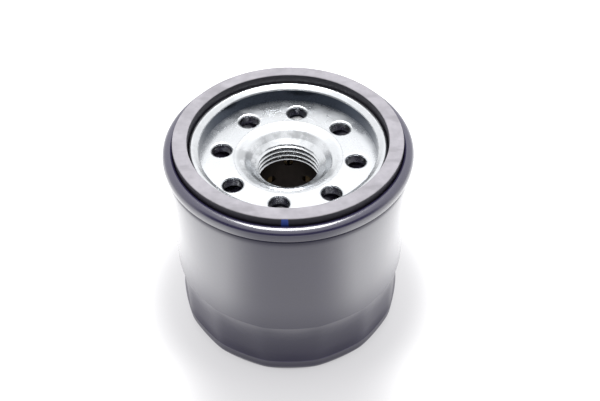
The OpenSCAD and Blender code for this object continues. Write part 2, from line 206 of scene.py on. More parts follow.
class FilterSettings(bpy.types.PropertyGroup):
    """Everything that the filter's operators read"""

    can: bpy.props.PointerProperty(name="Can", description="Sizes of the can", type=CanSizes)
    lid: bpy.props.PointerProperty(name="Lid", description="Sizes of the lid", type=LidSizes)
    gasket: bpy.props.PointerProperty(name="Gasket", description="Sizes of the gasket", type=GasketSizes)
    plate: bpy.props.PointerProperty(name="Plate", description="Sizes of the plate", type=PlateSizes)
    inside: bpy.props.PointerProperty(name="Inside", description="Sizes of the inner parts", type=InsideSizes)
    colours: bpy.props.PointerProperty(name="Colours", description="Colours of the finishes", type=Colours)


def settings():
    """The scene's filter settings."""
    return bpy.context.scene.oil_filter


# --- finishes -------------------------------------------------------------------------------------


class Signal:
    """A number that varies over a surface; arithmetic on it adds Math nodes."""

    def __init__(self, tree, socket):
        self.tree = tree
        self.socket = socket

    def __add__(self, other):
        return self.tree.math("ADD", self, other)

    def __sub__(self, other):
        return self.tree.math("SUBTRACT", self, other)

    def __rsub__(self, other):
        return self.tree.math("SUBTRACT", other, self)

    def __mul__(self, other):
        return self.tree.math("MULTIPLY", self, other)

    def __pow__(self, other):
        return self.tree.math("POWER", self, other)

    __radd__ = __add__
    __rmul__ = __mul__


class NodeTree:
    """Adds nodes to a material or a world."""

    def __init__(self, owner):
        owner.use_nodes = True
        self.tree = owner.node_tree
        self.tree.nodes.clear()

    def node(self, kind, choices=None, sockets=None, output=0):
        """Makes a node: its type, its settings, then the values or links of its sockets."""
        made = self.tree.nodes.new(kind)
        for name, value in (choices or {}).items():
            setattr(made, name, value)
        for name, value in (sockets or {}).items():
            if isinstance(value, Signal):
                self.tree.links.new(value.socket, made.inputs[name])
            else:
                made.inputs[name].default_value = value
        return Signal(self, made.outputs[output]) if made.outputs else None

    def math(self, operation, a, b=0.0):
        """A Math node."""
        return self.node("ShaderNodeMath", {"operation": operation}, {0: a, 1: b})

    def mix(self, a, b, share):
        """Colour a turning into colour b as the share goes from 0 to 1."""
        return self.node("ShaderNodeMix", {"data_type": "RGBA"}, {0: share, 6: opaque(a), 7: opaque(b)}, 2)

    def step(self, value, low, high):
        """0 where the value is under low, 1 where it is over high, and smooth between."""
        return self.node(
            "ShaderNodeMapRange",
            {"interpolation_type": "SMOOTHSTEP"},
            {"Value": value, "From Min": low, "From Max": high},
        )

    def noise(self, size, detail=3.0, roughness=0.5, stretch=(1, 1, 1)):
        """Cloudy variation from 0 to 1, with features of that size in metres."""
        where = self.node(
            "ShaderNodeMapping", {}, {"Vector": self.place(), "Scale": Vector(stretch) / size}
        )
        return self.node(
            "ShaderNodeTexNoise",
            {},
            {"Vector": where, "Scale": 1.0, "Detail": detail, "Roughness": roughness},
        )

    def place(self):
        """The point in the part's frame."""
        return self.node("ShaderNodeTexCoord", output="Object")

    def axes(self, where=None):
        """The x, y and z of a vector, or of the point."""
        split = self.tree.nodes.new("ShaderNodeSeparateXYZ")
        self.tree.links.new((where or self.place()).socket, split.inputs[0])
        return [Signal(self, output) for output in split.outputs]

    def radius(self):
        """The point's distance from the filter's axis."""
        x, y, _ = self.axes()
        return (x * x + y * y) ** 0.5

    def bump(self, height, depth, normal=None):
        """Relief of that depth in metres, from a height that varies from 0 to 1."""
        sockets = {"Height": height, "Distance": depth, "Strength": 1.0}
        if normal is not None:
            sockets["Normal"] = normal
        return self.node("ShaderNodeBump", {}, sockets)


def opaque(colour):
    """A colour with its alpha, or a link as it is."""
    return colour if isinstance(colour, Signal) else (*colour, 1.0)


def shade(colour, factor):
    """A colour made lighter or darker."""
    return tuple(min(1.0, c * factor) for c in colour)


def finish(name, build):
    """The material of that name, built once: build(tree) returns the shader's socket values."""
    found = bpy.data.materials.get(name + "_finish")
    if found:
        return found
    made = bpy.data.materials.new(name + "_finish")
    tree = NodeTree(made)
    shader = tree.node("ShaderNodeBsdfPrincipled", {}, build(tree))
    tree.node("ShaderNodeOutputMaterial", {}, {"Surface": shader})
    return made


def paint_layer(tree):
    """Semi-gloss black paint: its colour, roughness, coat and orange peel."""
    paint = settings().colours.paint
    cloud = tree.noise(9 * MM, 4)
    peel = tree.noise(0.9 * MM, 2)
    specks = tree.step(tree.noise(0.45 * MM, 1), 0.78, 0.84)
    colour = tree.mix(shade(paint, 0.86), shade(paint, 1.14), cloud)
    colour = tree.mix(colour, shade(paint, 3.2), specks * 0.5)
    return colour, cloud, peel, specks


def can_paint(tree):
    """The can's paint, with a lighter line along the crease above the bottom corner: partly paint worn thin along
    it, partly a painted highlight.
    """
    sizes = settings().can
    colour, cloud, peel, specks = paint_layer(tree)
    _, _, z = tree.axes()
    crease = sizes.draft_height
    width = 0.35 * MM
    # lighter line painted along the crease: partly worn paint, partly a painted highlight of the crease
    line = tree.step(z, crease - width, crease) * (1 - tree.step(z, crease, crease + width))
    crease_wear_and_highlight = line * tree.step(tree.noise(3 * MM, 3), 0.28, 0.6)
    foot = 1 - tree.step(z, 0.1 * MM, 1.4 * MM)
    scuff = foot * tree.step(tree.noise(1.6 * MM, 5, 0.7), 0.52, 0.7)
    colour = tree.mix(colour, shade(settings().colours.paint, 2.6), crease_wear_and_highlight * 0.7 + scuff * 0.5)
    seam_z = LID.high - settings().lid.seam_height
    gloss = tree.step(z, 6 * MM, 34 * MM) * (1 - 0.9 * tree.step(z, seam_z - 3 * MM, seam_z))
    low = 1 - tree.step(z, 0.5 * MM, 3 * MM)
    return {
        "Base Color": colour,
        "Roughness": 0.26 + cloud * 0.08 + scuff * 0.2 + low * 0.25,
        "IOR": 1.5,
        "Coat Weight": gloss * (1 - scuff * 0.5),
        "Coat Roughness": 0.14,
        "Coat IOR": 1.82,
        "Normal": tree.bump(peel + specks * 0.6, 0.012 * MM),
    }


def lid_finish(tree):
    """Paint over the seam, bright zinc on the lip, and painted shade on the wall below it: a dark blue-grey steel
    colour.
    """
    colours = settings().colours
    colour, cloud, peel, _ = paint_layer(tree)
    sizes = settings().lid
    edge = GASKET.inner + 1 * MM
    radius = tree.radius()
    _, _, z = tree.axes()
    painted = tree.step(radius, edge, edge + 0.3 * MM)
    rim = GASKET.high - sizes.lip_drop - sizes.lip_fall
    # painted shade: the wall under the lip, down to the plate, gets a dark blue-grey colour in place of zinc
    wall = (1 - tree.step(z, rim - 0.5 * MM, rim - 0.1 * MM)) * (1 - tree.step(radius, LID.inner + 0.3 * MM, edge))
    worn = tree.step(tree.noise(2.2 * MM, 4, 0.6), 0.6, 0.8) * painted
    spangle = tree.noise(2.6 * MM, 5, 0.65)
    zinc = tree.mix(shade(colours.zinc, 0.80), shade(colours.zinc, 1.08), spangle)
    zinc = tree.mix(zinc, (0.055, 0.065, 0.085), wall)
    return {
        "Base Color": tree.mix(zinc, tree.mix(colour, shade(colours.paint, 1.7), worn * 0.4), painted),
        "Metallic": 1 - painted,
        "Roughness": 0.18 + spangle * 0.12 + painted * (0.02 + cloud * 0.06),
        "IOR": 1.6,
        "Coat Weight": painted * 0.85,
        "Coat Roughness": 0.13,
        "Coat IOR": 1.75,
        "Normal": tree.bump(peel, 0.008 * MM),
    }


def zinc_plating(tree):
    """Bright zinc, faintly clouded, with darker stains all over, made much darker round the neck as painted shade.
    """
    zinc = settings().colours.zinc
    radius = tree.radius()
    cloud = tree.noise(11 * MM, 4, 0.6)
    grain = tree.noise(0.55 * MM, 4, 0.6)
    stain_and_shade = tree.step(tree.noise(6 * MM, 5, 0.65), 0.46, 0.66)
    # painted shade round the neck: the stains darken up to five times more within 12 mm of the axis, fading out by
    # 19 mm
    painted_neck_shade = 1 - tree.step(radius, 12 * MM, 19 * MM)
    colour = tree.mix(shade(zinc, 0.92), shade(zinc, 1.1), cloud)
    colour = tree.mix(colour, shade(zinc, 0.55), stain_and_shade * (0.15 + painted_neck_shade * 0.6))
    return {
        "Base Color": colour,
        "Metallic": 1.0,
        "Roughness": 0.22 + grain * 0.08 + stain_and_shade * 0.08,
        "Normal": tree.bump(grain, 0.006 * MM),
    }


def gasket_finish(tree):
    """Black moulded rubber with a dusty grey sealing face and one dab of ink on its side."""
    colours = settings().colours
    sizes = settings().gasket
    x, y, z = tree.axes()
    face = tree.step(z, GASKET.high - 0.3 * MM, GASKET.high - 0.06 * MM)
    cloud = tree.noise(4.5 * MM, 5, 0.6)
    smear = tree.noise(5 * MM, 3, 0.55, (0.4, 1.0, 1.0))
    pores = tree.noise(0.35 * MM, 3, 0.6)
    dust = tree.mix(shade(colours.dust, 0.62), shade(colours.dust, 1.40), cloud)
    dust = tree.mix(dust, shade(colours.dust, 0.70), tree.step(smear, 0.54, 0.68) * 0.6)
    side = tree.mix(colours.rubber, shade(colours.rubber, 2.2), pores)
    left = -sizes.mark_offset - sizes.mark_width / 2
    right = left + sizes.mark_width
    soft = 0.18 * MM
    ragged = x + (tree.noise(0.9 * MM, 2) - 0.5) * (0.5 * MM)
    dab = tree.step(ragged, left, left + soft) * (1 - tree.step(ragged, right - soft, right))
    front = 1 - tree.step(y, -GASKET.outer + 0.8 * MM, -GASKET.outer + 1.6 * MM)
    marked = dab * front * (1 - face)
    return {
        "Base Color": tree.mix(tree.mix(side, dust, face), colours.ink, marked * 0.85),
        "Roughness": 0.42 + face * 0.3 + pores * 0.08,
        "Specular IOR Level": 0.5,
        "Normal": tree.bump(pores * 0.7 + cloud * 0.3, 0.02 * MM),
    }


def black_rubber(tree):
    """Smooth moulded nitrile."""
    rubber = settings().colours.rubber
    cloud = tree.noise(4 * MM, 3)
    return {
        "Base Color": tree.mix(rubber, shade(rubber, 2.4), cloud),
        "Roughness": 0.14 + cloud * 0.1,
        "Normal": tree.bump(tree.noise(0.7 * MM, 2), 0.008 * MM),
    }


def tinplate(tree):
    """Thin tinned sheet with an oil film."""
    plate = settings().colours.tinplate
    cloud = tree.noise(6 * MM, 4, 0.6)
    grain = tree.noise(0.5 * MM, 3, 0.6, (1, 1, 0.25))
    return {
        "Base Color": tree.mix(shade(plate, 0.72), shade(plate, 1.25), cloud),
        "Metallic": 0.9,
        "Roughness": 0.26 + grain * 0.16,
        "Normal": tree.bump(grain, 0.006 * MM),
    }


def spring_steel(tree):
    """Drawn wire and strip, oiled dark."""
    steel = settings().colours.spring
    cloud = tree.noise(2.5 * MM, 4, 0.6)
    return {
        "Base Color": tree.mix(shade(steel, 0.7), shade(steel, 1.35), cloud),
        "Metallic": 1.0,
        "Roughness": 0.24 + cloud * 0.14,
        "Normal": tree.bump(tree.noise(0.3 * MM, 2), 0.004 * MM),
    }


def cured_adhesive(tree):
    """Poured adhesive with a few bubbles."""
    adhesive = settings().colours.adhesive
    cloud = tree.noise(3 * MM, 4)
    bubbles = tree.step(tree.noise(0.9 * MM, 1), 0.66, 0.76)
    return {
        "Base Color": tree.mix(shade(adhesive, 0.75), shade(adhesive, 1.3), cloud),
        "Roughness": 0.4 + bubbles * 0.2,
        "Subsurface Weight": 0.1,
        "Subsurface Radius": (0.002, 0.001, 0.0006),
        "Subsurface Scale": 0.5,
        "Normal": tree.bump(cloud - bubbles * 0.6, 0.08 * MM),
    }


def filter_paper(tree):
    """Resin-treated paper: fibres, specks and a faint emboss."""
    paper = settings().colours.paper
    fibres = tree.noise(0.3 * MM, 5, 0.75, (1, 1, 0.3))
    cloud = tree.noise(7 * MM, 4)
    specks = tree.step(tree.noise(0.5 * MM, 2), 0.68, 0.76)
    colour = tree.mix(shade(paper, 0.85), shade(paper, 1.15), cloud)
    colour = tree.mix(colour, shade(paper, 0.6), specks * 0.5)
    return {
        "Base Color": tree.mix(colour, shade(paper, 1.3), fibres * 0.35),
        "Roughness": 0.82 + fibres * 0.1,
        "Normal": tree.bump(fibres, 0.05 * MM),
    }


def seam_compound(tree):
    """Cured latex in the seam."""
    cloud = tree.noise(1.5 * MM, 3)
    return {
        "Base Color": tree.mix((0.20, 0.19, 0.17), (0.32, 0.30, 0.27), cloud),
        "Roughness": 0.5 + cloud * 0.2,
        "Normal": tree.bump(cloud, 0.03 * MM),
    }


FINISHES = {
    "can_paint": can_paint,
    "lid_paint": lid_finish,
    "zinc_plate": zinc_plating,
    "gasket_rubber": gasket_finish,
    "nitrile": black_rubber,
    "tinplate": tinplate,
    "spring_steel": spring_steel,
    "adhesive": cured_adhesive,
    "filter_paper": filter_paper,
    "seam_compound": seam_compound,
}


def slot_finish(slot):
    """The finish of one of the record's material slots."""
    return finish(slot, FINISHES[slot])


def slot_of(node):
    """The record's material slot of a CAD node."""
    return next(s["material_slot"] for s in frame["record"]["subparts"] if s["node"] == node)


def finish_nodes(*nodes):
    """CAD nodes that keep their shape get their finish."""
    for name in nodes:
        node = frame["nodes"][name]
        node.data.materials.clear()
        node.data.materials.append(slot_finish(slot_of(name)))


# --- modelling helpers ----------------------------------------------------------------------------


def rounded(corners, segments=8):
    """The outline through corners of (radius, height, fillet), each fillet an arc."""
    points = []
    for i, (r, z, fillet) in enumerate(corners):
        here = Vector((r, z))
        if not fillet:
            points.append(here)
            continue
        back = (Vector(corners[i - 1][:2]) - here).normalized()
        ahead = (Vector(corners[(i + 1) % len(corners)][:2]) - here).normalized()
        half = back.angle(ahead) / 2
        centre = here + (back + ahead).normalized() * (fillet / math.sin(half))
        spoke = here + back * (fillet / math.tan(half)) - centre
        sweep = math.copysign(math.pi - 2 * half, back.cross(ahead)) * -1
        for k in range(segments + 1):
            points.append(centre + Matrix.Rotation(sweep * k / segments, 2) @ spoke)
    return points


def ladder(r, low, high, steps):
    """Corners of a straight stretch of wall at radius r, from low to high."""
    return [(r, low + (high - low) * k / steps, 0) for k in range(steps + 1)]


def spin_outline(points, steps, closed=False):
    """An outline of (radius, height) points, spun once round Z."""
    bm = bmesh.new()
    verts = [bm.verts.new((p[0], 0, p[1])) for p in points]
    ends = zip(verts, verts[1:] + (verts[:1] if closed else []))
    edges = [bm.edges.new(pair) for pair in ends if pair[0] != pair[1]]
    bmesh.ops.spin(
        bm, geom=verts + edges, axis=(0, 0, 1), cent=(0, 0, 0), angle=TURN, steps=steps, use_merge=True
    )
    clean(bm)
    return bm


def clean(bm):
    """Merges doubles, then turns all faces outwards."""
    bmesh.ops.remove_doubles(bm, verts=bm.verts, dist=WELD)
    bmesh.ops.dissolve_degenerate(bm, edges=bm.edges, dist=WELD / 10)
    bmesh.ops.recalc_face_normals(bm, faces=bm.faces)


def thicken(bm, sheet):
    """Gives a skin its sheet thickness, inwards."""
    bmesh.ops.solidify(bm, geom=bm.faces[:], thickness=sheet)


def face_up(bm, upwards=True):
    """Turns a skin over if its normals add up the wrong way along Z."""
    total = sum(f.normal.z * f.calc_area() for f in bm.faces)
    if (total > 0) != upwards:
        bmesh.ops.reverse_faces(bm, faces=bm.faces[:])


def make_piece(bm, name, node, body="housing", sharp=40):
    """A finished piece that stands for a CAD node and rides on a body."""
    mesh = bpy.data.meshes.new(name)
    for face in bm.faces:
        face.smooth = True
    bm.to_mesh(mesh)
    bm.free()
    mesh.set_sharp_from_angle(angle=math.radians(sharp))
    mesh.materials.append(slot_finish(slot_of(node)))
    piece = bpy.data.objects.new(name, mesh)
    bpy.context.scene.collection.objects.link(piece)
    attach(piece, body)
    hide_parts(node)
    return piece


# --- the pieces -----------------------------------------------------------------------------------

Seam = namedtuple("Seam", "groove neck hook_radius hook_centre hook_top hook_end curl_inner curl_radius curl_top")


def seam_lines():
    """Radii and heights of the folded layers of the double seam."""
    can = settings().can
    lid = settings().lid
    top = LID.high
    bottom = top - lid.seam_height
    groove = GASKET.outer + settings().gasket.play
    neck = groove + lid.sheet + lid.play + can.sheet
    hook_radius = lid.sheet / 2 + lid.play
    hook_centre = neck + hook_radius
    curl_radius = can.sheet / 2 + lid.play + lid.sheet
    hook_height = top - lid.top_radius + 0.1 * MM
    return Seam(
        groove=groove,
        neck=neck,
        hook_radius=hook_radius,
        hook_centre=hook_centre,
        hook_top=hook_height + hook_radius,
        hook_end=bottom + lid.sheet + can.sheet / 2 + 2 * lid.play,
        curl_inner=LID.outer - 2 * curl_radius,
        curl_radius=curl_radius,
        curl_top=hook_height - lid.play,
    )


def press_flats(bm, sizes):
    """Draws the lower wall in to its flats, with soft creases and a soft ledge above each."""
    step = TURN / sizes.flats
    apothem = (sizes.radius - sizes.flat_relief) * math.cos(step / 2)
    crease = 80                       # the higher, the sharper the creases between flats
    ledge_blend = 0.35 * MM
    ledge_slope = 3.5                 # height of the ledge for its depth
    round_foot = 0.5                  # how far the foot is back to a round shape
    level = sizes.panel_radius + sizes.panel_height
    foot = sizes.radius - sizes.corner
    for vert in bm.verts:
        radius = math.hypot(vert.co.x, vert.co.y)
        if vert.co.z > sizes.flat_height + 2 * ledge_blend or radius < level:
            continue
        angle = math.atan2(vert.co.y, vert.co.x)
        local = (angle % step) - step / 2
        spread = sum(math.cos(local + k * step) ** crease for k in (-1, 0, 1))
        shift = sizes.radius - apothem / spread ** (1 / crease)
        room = (sizes.flat_height - vert.co.z) / ledge_slope
        gap = (shift - room) / ledge_blend
        if gap > -2:
            shift = shift - ledge_blend * math.log1p(math.exp(min(gap, 40)))
        share = min(1.0, (radius - level) / (foot - level))
        above_foot = min(1.0, max(0.0, (vert.co.z - sizes.draft_height) / (0.6 * sizes.draft_height)))
        share *= 1 - round_foot * (1 - above_foot) ** 2
        scale = 1 - max(0.0, shift) * share / radius
        vert.co.x *= scale
        vert.co.y *= scale


class OILFILTER_OT_can(bpy.types.Operator):
    """Makes the drawn can with its wrench flats, shoulder and hook"""

    bl_idname = "oilfilter.can"
    bl_label = "Can"

    def execute(self, context):
        sizes = context.scene.oil_filter.can
        seam = seam_lines()
        seam_bottom = LID.high - context.scene.oil_filter.lid.seam_height
        reach = seam.neck - (sizes.radius - sizes.shoulder)
        shoulder_z = seam_bottom - math.sqrt(sizes.shoulder**2 - reach**2)
        shoulder_turn = math.acos(reach / sizes.shoulder)
        foot = sizes.radius - sizes.draft
        bend = 1 * MM
        outline = rounded([
            (0, sizes.panel_height, 0),
            (sizes.panel_radius * 0.4, sizes.panel_height, 0),
            (sizes.panel_radius, sizes.panel_height, bend),
            (sizes.panel_radius + sizes.panel_height, 0, bend / 2),
            (sizes.radius - 1.6 * sizes.corner, 0, 0),
            (foot, 0, sizes.corner),
            (foot + sizes.draft * 0.15, sizes.draft_height - 0.35 * MM, 0),
            (sizes.radius, sizes.draft_height, 0),
            (sizes.radius, sizes.draft_height + 0.35 * MM, 0),
            *ladder(sizes.radius, 7 * MM, sizes.flat_height - 3 * MM, 14),
            *ladder(sizes.radius, sizes.flat_height - 2.85 * MM, sizes.flat_height + 0.6 * MM, 26),
            *ladder(sizes.radius, sizes.flat_height + 1 * MM, shoulder_z, 6),
        ])
        for k in range(1, 9):
            a = shoulder_turn * k / 8
            outline.append((
                sizes.radius - sizes.shoulder + sizes.shoulder * math.cos(a),
                shoulder_z + sizes.shoulder * math.sin(a),
            ))
        crown = seam.hook_centre + seam.hook_radius
        outline += rounded([
            (seam.neck, seam_bottom + 0.5 * MM, 0),
            (seam.neck, seam.hook_top, seam.hook_radius),
            (crown, seam.hook_top, seam.hook_radius),
            (crown, seam.hook_end, 0),
        ], 6)
        bm = spin_outline(outline, sizes.flats * 30)
        press_flats(bm, sizes)
        face_up(bm, upwards=False)
        thicken(bm, sizes.sheet)
        make_piece(bm, "can_shell", "canister", sharp=60)
        return {"FINISHED"}


class OILFILTER_OT_lid(bpy.types.Operator):
    """Makes the lid: the seam's curl, the gasket's groove and the lip inside it"""

    bl_idname = "oilfilter.lid"
    bl_label = "Lid"

    def execute(self, context):
        sizes = context.scene.oil_filter.lid
        seam = seam_lines()
        lip_outer = LID.inner + sizes.lip_width
        lip_top = GASKET.high - sizes.lip_drop
        seam_bottom = LID.high - sizes.seam_height
        outline = rounded([
            (seam.curl_inner, seam.curl_top, 0),
            (seam.curl_inner, seam_bottom, seam.curl_radius),
            (LID.outer, seam_bottom, seam.curl_radius),
            (LID.outer, LID.high, sizes.top_radius),
            (seam.groove, LID.high, sizes.top_bend + sizes.sheet),
            (seam.groove, GASKET.low, sizes.groove_bend),
            (lip_outer, GASKET.low, sizes.groove_bend),
            (lip_outer, lip_top, sizes.lip_bend),
            (LID.inner + sizes.lip_slope, lip_top, sizes.lip_bend),
            (LID.inner, lip_top - sizes.lip_fall, 0.5 * MM),
            (LID.inner, PLATE.high, 0),
        ], 14)
        bm = spin_outline(outline, 240)
        face_up(bm)
        thicken(bm, sizes.sheet)
        make_piece(bm, "lid_ring", "seaming_lid", sharp=60)
        return {"FINISHED"}


class OILFILTER_OT_gasket(bpy.types.Operator):
    """Makes the square-cut sealing ring"""

    bl_idname = "oilfilter.gasket"
    bl_label = "Gasket"

    def execute(self, context):
        sizes = context.scene.oil_filter.gasket
        inner = GASKET.outer - sizes.width
        outline = rounded([
            (inner, GASKET.low, sizes.edge),
            (GASKET.outer, GASKET.low, sizes.edge),
            (GASKET.outer, GASKET.high, sizes.top_edge),
            (inner, GASKET.high, sizes.top_edge),
        ], 6)
        bm = spin_outline(outline, 240, closed=True)
        make_piece(bm, "gasket_ring", "gasket", sharp=60)
        return {"FINISHED"}


def port_wedge(bm, sizes, middle, arc_steps, side_steps, inner, outer, z):
    """One port's share of the plate's face: a wedge with the port's hole in it."""
    half = TURN / sizes.ports / 2
    corners = []
    for k in range(arc_steps):
        corners.append((inner, -half + 2 * half * k / arc_steps))
    for k in range(side_steps):
        corners.append((inner + (outer - inner) * k / side_steps, half))
    for k in range(arc_steps):
        corners.append((outer, half - 2 * half * k / arc_steps))
    for k in range(side_steps):
        corners.append((outer + (inner - outer) * k / side_steps, -half))
    verts = [
        bm.verts.new((r * math.cos(middle + a), r * math.sin(middle + a), z)) for r, a in corners
    ]
    border = [bm.edges.new(pair) for pair in zip(verts, verts[1:] + verts[:1])]
    where = Matrix.Rotation(middle, 4, "Z") @ Matrix.Translation((sizes.port_circle, 0, z))
    rims = [
        bmesh.ops.create_circle(bm, cap_ends=False, radius=radius, segments=len(verts), matrix=where)["verts"]
        for radius in (sizes.port_radius + 1.05 * sizes.port_rim, sizes.port_radius)
    ]
    outer_rim = list({e for v in rims[0] for e in v.link_edges})
    bmesh.ops.bridge_loops(bm, edges=border + outer_rim)
    for k in range(len(verts)):
        bm.faces.new((rims[0][k - 1], rims[0][k], rims[1][k], rims[1][k - 1]))


def cut_thread(bm, sizes, low, high):
    """Moves the neck's bore outwards to a right-hand thread with a lead-in cone."""
    root = 0.125
    crest = 0.72
    for vert in bm.verts:
        radius = math.hypot(vert.co.x, vert.co.y)
        if abs(radius - BORE_RADIUS) > WELD * 10 or not low < vert.co.z < high:
            continue
        turn = math.atan2(vert.co.y, vert.co.x) / TURN
        along = (vert.co.z / sizes.pitch - turn) % 1
        away = abs(along - 0.5) * 2
        tooth = min(1.0, max(0.0, (crest - away) / (crest - root)))
        fade = min(1.0, (vert.co.z - low) / (0.4 * MM))
        lead_in = sizes.mouth - (high - vert.co.z) * 1.4
        target = max(BORE_RADIUS + sizes.thread_depth * tooth * fade, lead_in)
        vert.co.x *= target / radius
        vert.co.y *= target / radius


class OILFILTER_OT_plate(bpy.types.Operator):
    """Makes the base plate with its inlet ports, dip and threaded neck"""

    bl_idname = "oilfilter.plate"
    bl_label = "Base plate"

    def execute(self, context):
        sizes = context.scene.oil_filter.plate
        top = PLATE.high
        under = top - sizes.thickness
        dip_outer = sizes.mouth + sizes.dip_width
        arc_steps = 24
        steps = arc_steps * sizes.ports
        bm = bmesh.new()
        for i in range(sizes.ports):
            middle = sizes.port_angle + i * TURN / sizes.ports
            port_wedge(bm, sizes, middle, arc_steps, 12, dip_outer, PLATE.outer, top)
        clean(bm)
        face_up(bm)
        thicken(bm, sizes.thickness)
        inner_wall = [
            f for f in bm.faces
            if all(math.hypot(v.co.x, v.co.y) < dip_outer + WELD * 10 for v in f.verts)
        ]
        bmesh.ops.delete(bm, geom=inner_wall, context="FACES")
        round_port_rims(bm, sizes, top)
        chamfer = 0.4 * MM
        mouth_z = top - sizes.dip
        lead_in = 2 * sizes.mouth_edge
        outline = [
            *rounded([
                (dip_outer, top, 0),
                (dip_outer - 0.6 * MM, top, 3 * MM),
                (sizes.mouth + sizes.steep_width, mouth_z + sizes.steep_height, sizes.dip_bend),
                (sizes.mouth, mouth_z, sizes.mouth_edge),
                (sizes.mouth - 1.4 * lead_in, mouth_z - lead_in, 0),
            ], 10),
            *[Vector(p[:2]) for p in ladder(BORE_RADIUS, mouth_z - lead_in * 1.1, PLATE.low + chamfer, 110)],
            *rounded([
                (BORE_RADIUS + chamfer, PLATE.low, 0),
                (sizes.neck - chamfer, PLATE.low, 0),
                (sizes.neck, PLATE.low + chamfer, 0),
                (sizes.neck, under, 0.8 * MM),
                (dip_outer, under, 0),
            ], 5),
        ]
        neck = spin_outline(outline, steps)
        cut_thread(neck, sizes, PLATE.low + chamfer, mouth_z)
        turned = Matrix.Rotation(sizes.port_angle - TURN / sizes.ports / 2, 4, "Z")
        bmesh.ops.transform(neck, matrix=turned, verts=neck.verts)
        part = bpy.data.meshes.new("neck")
        neck.to_mesh(part)
        neck.free()
        bm.from_mesh(part)
        bpy.data.meshes.remove(part)
        clean(bm)
        make_piece(bm, "threaded_plate", "base_plate", sharp=50)
        return {"FINISHED"}


def round_port_rims(bm, sizes, top):
    """Rounds the ports' upper edges as a punch leaves them."""
    limit = sizes.port_radius * 1.01
    centres = [
        Vector((math.cos(a), math.sin(a))) * sizes.port_circle
        for a in (sizes.port_angle + i * TURN / sizes.ports for i in range(sizes.ports))
    ]
    rims = [
        e for e in bm.edges
        if all(abs(v.co.z - top) < WELD for v in e.verts)
        and any(all((v.co.xy - c).length < limit for v in e.verts) for c in centres)
    ]
    bmesh.ops.bevel(
        bm,
        geom=rims,
        offset=sizes.port_rim,
        offset_type="OFFSET",
        segments=5,
        profile=0.5,
        affect="EDGES",
        material=-1,
        clamp_overlap=True,
    )


class OILFILTER_OT_valve(bpy.types.Operator):
    """Makes the rubber anti-drainback valve under the ports"""

    bl_idname = "oilfilter.valve"
    bl_label = "Anti-drainback valve"

    def execute(self, context):
        sizes = context.scene.oil_filter.inside
        lip_z = VALVE.high
        dish_z = lip_z - sizes.valve_drop
        collar_outer = VALVE.inner + sizes.collar
        lip_outer = VALVE.outer
        thickness = sizes.valve_thickness
        outline = rounded([
            (VALVE.inner, VALVE.low, 0.3 * MM),
            (collar_outer, VALVE.low, 0.3 * MM),
            (collar_outer, dish_z - thickness, 0.7 * MM),
            (lip_outer - 1.5 * MM, lip_z - thickness, 1.5 * MM),
            (lip_outer, lip_z - thickness, 0.3 * MM),
            (lip_outer - 0.5 * MM, lip_z, 0.2 * MM),
            (lip_outer - 1.5 * MM, lip_z, 0.4 * MM),
            (collar_outer + sizes.shoulder, dish_z, 2 * MM),
            (collar_outer, lip_z, 1 * MM),
            (VALVE.inner, lip_z, 0.3 * MM),
        ], 6)
        bm = spin_outline(outline, 144, closed=True)
        valve = make_piece(bm, "drainback_valve", "anti_drainback_valve", sharp=60)
        travel = joint_travel("drainback_flex")
        height = VALVE.high - VALVE.low
        (height - travel) / height
        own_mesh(valve)
        return {"FINISHED"}


def joint_travel(name):
    """How far a sliding joint goes, in metres."""
    return max(next(j for j in frame["joints"] if j["name"] == name)["range_m"])


class OILFILTER_OT_bypass(bpy.types.Operator):
    """Makes the bypass valve's coil spring and finishes the valve's other parts"""

    bl_idname = "oilfilter.bypass"
    bl_label = "Bypass valve"

    def execute(self, context):
        sizes = context.scene.oil_filter.inside
        mean = SPRING.outer - sizes.wire / 2
        steps = 36 * sizes.coils
        rise = SPRING.high - SPRING.low - sizes.wire
        bm = bmesh.new()
        where = Matrix.Translation((mean, 0, SPRING.low + sizes.wire / 2)) @ Matrix.Rotation(TURN / 4, 4, "X")
        section = bmesh.ops.create_circle(bm, cap_ends=True, radius=sizes.wire / 2, segments=12, matrix=where)
        faces = list({f for v in section["verts"] for f in v.link_faces})
        edges = list({e for v in section["verts"] for e in v.link_edges})
        bmesh.ops.spin(
            bm,
            geom=section["verts"] + edges + faces,
            axis=(0, 0, 1),
            cent=(0, 0, 0),
            dvec=(0, 0, rise / steps),
            angle=TURN * sizes.coils,
            steps=steps,
        )
        clean(bm)
        coil = make_piece(bm, "bypass_coil", "bypass_spring")
        height = SPRING.high - SPRING.low
        travel = joint_travel("bypass_lift")
        (height - travel) / height
        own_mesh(coil)
        finish_nodes("bypass_seat_ring", "bypass_disc_seal", "bypass_disc", "bypass_guide_pin", "bypass_cage")
        return {"FINISHED"}


class OILFILTER_OT_element(bpy.types.Operator):
    """Finishes the filter element, its spring and the seam's compound"""

    bl_idname = "oilfilter.element"
    bl_label = "Element"

    def execute(self, context):
        finish_nodes(
            "upper_end_cap", "upper_potting", "pleated_media", "media_seam_clip", "center_tube",
            "lower_potting", "lower_end_cap", "element_spring", "seam_compound",
        )
        return {"FINISHED"}


# --- the stage ------------------------------------------------------------------------------------


def aim_camera():
    """A 50 mm lens that looks down at the threaded end from the front."""
    data = bpy.data.cameras.new("camera")
    data.lens = 49.93
    data.sensor_width = 36
    camera = bpy.data.objects.new("camera", data)
    pitch = math.radians(44.94)
    yaw = 0.0184
    roll = 0.0034
    forward = Vector((math.sin(yaw) * math.cos(pitch), math.cos(yaw) * math.cos(pitch), -math.sin(pitch)))
    turn = forward.to_track_quat("-Z", "Y").to_matrix().to_4x4()
    camera.matrix_world = (
        Matrix.Translation((0, -0.1739, 0.2133)) @ turn @ Matrix.Rotation(-roll, 4, "Z")
    )
    bpy.context.scene.collection.objects.link(camera)
    bpy.context.scene.camera = camera


